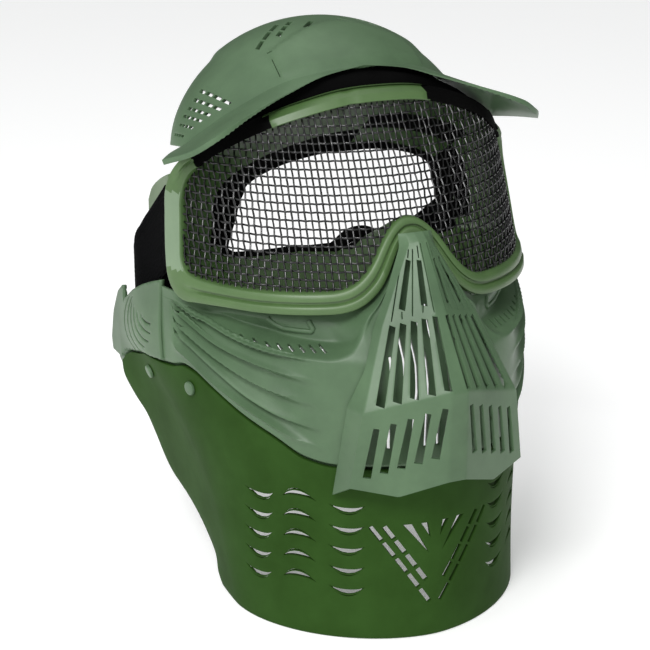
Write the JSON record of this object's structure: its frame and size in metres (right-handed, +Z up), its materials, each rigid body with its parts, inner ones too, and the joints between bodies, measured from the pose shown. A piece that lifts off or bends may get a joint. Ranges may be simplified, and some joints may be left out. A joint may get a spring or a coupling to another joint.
{
  "type": "airsoft face mask",
  "caption": "Full-face airsoft mask with wire mesh goggle, forehead visor, ventilated cheek shell, faceted mouth grille, ear guards, rubber neck guard and elastic head strap.",
  "frame": {"origin": "middle of the mask's bounding box, on the flat rim of the neck guard", "axes": "+Z up, the mask faces -Y, +X is the wearer's left"},
  "size_m": [0.2003, 0.252, 0.2743],
  "materials": {
    "green_rubber": "satin moulded rubber",
    "green_plastic": "satin moulded plastic",
    "goggle_plastic": "satin moulded plastic",
    "black_wire": "black coated steel wire",
    "black_foam": "open-cell foam",
    "black_elastic": "woven elastic"
  },
  "bodies": {
    "root": {"neck_guard": "green_rubber", "face_shell": "green_plastic", "mouth_grille": "green_plastic", "ear_guard_left": "green_plastic", "ear_guard_right": "green_plastic", "visor": "green_plastic", "goggle_frame": "goggle_plastic", "visor_post_right": "goggle_plastic", "visor_post_left": "goggle_plastic", "temple_left": "goggle_plastic", "temple_right": "goggle_plastic", "mesh_lens": "black_wire", "foam_pad": "black_foam", "vent_foam": "black_foam", "head_strap": "black_elastic", "rivet_ear_left": "green_plastic", "rivet_ear_right": "green_plastic", "rivet_jaw_left": "green_plastic", "rivet_jaw_right": "green_plastic"}
  },
  "joints": []
}
